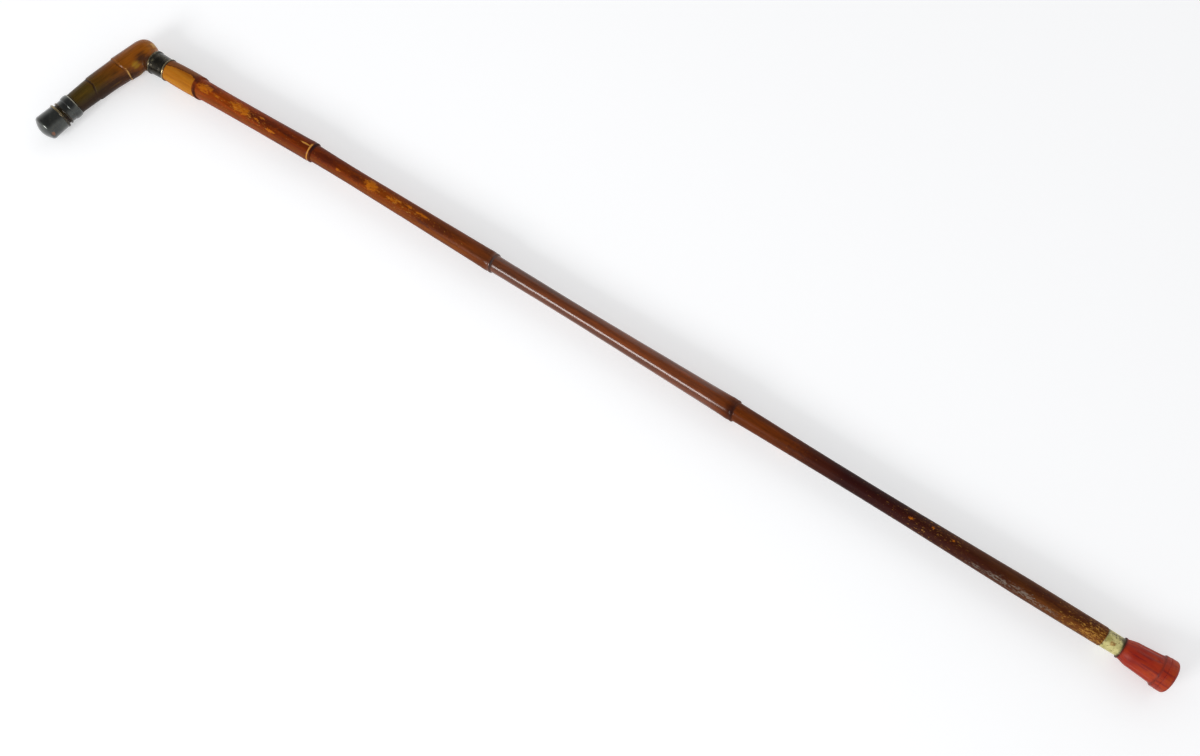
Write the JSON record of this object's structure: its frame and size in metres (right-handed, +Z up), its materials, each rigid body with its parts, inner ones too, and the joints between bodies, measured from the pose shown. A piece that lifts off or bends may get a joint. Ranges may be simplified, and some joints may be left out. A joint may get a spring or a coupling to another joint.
{
  "type": "walking cane",
  "caption": "Slim walking cane: stepped bamboo shaft, carved horn L-handle with silver collar, band and cap, brass ferrule and a pull-off red rubber tip.",
  "frame": {"origin": "centre of the rubber tip's ground face", "axes": "the cane lies flat: +X runs up the shaft from the tip to the handle, +Y is the side that the handle points to, +Z is up from the surface that the cane lies on"},
  "size_m": [0.8949, 0.1118, 0.0232],
  "materials": {
    "bamboo": "glossy red-brown varnish, worn to ochre in places",
    "horn": "polished, amber at the heel and olive-brown at the end",
    "silver": "dark tarnish, polished",
    "silver_rim": "tarnish worn off along the crest",
    "brass": "dull pale patina",
    "iron": "lightly rusted",
    "steel": "plain stamped washer",
    "rubber": "satin red rubber, moulded",
    "hardwood": "bare",
    "cement": "set resin"
  },
  "bodies": {
    "cane": {"shaft": "bamboo", "ferrule": "brass", "ferrule_plug": "iron", "ferrule_nails": "iron", "neck_dowel": "hardwood", "neck_collar": "silver", "neck_collar_upper_rim": "silver_rim", "neck_collar_lower_rim": "silver_rim", "handle": "horn", "end_band": "silver", "end_band_upper_rim": "silver_rim", "end_band_lower_rim": "silver_rim", "end_cap": "silver", "end_cap_rim": "silver_rim", "end_cap_cement": "cement"},
    "tip": {"rubber_tip": "rubber", "tip_washer": "steel"}
  },
  "joints": [
    {"name": "tip_pull", "type": "slide", "parent": "cane", "child": "tip", "axis": [-1, 0, 0], "range_m": [0, 0.045]}
  ]
}
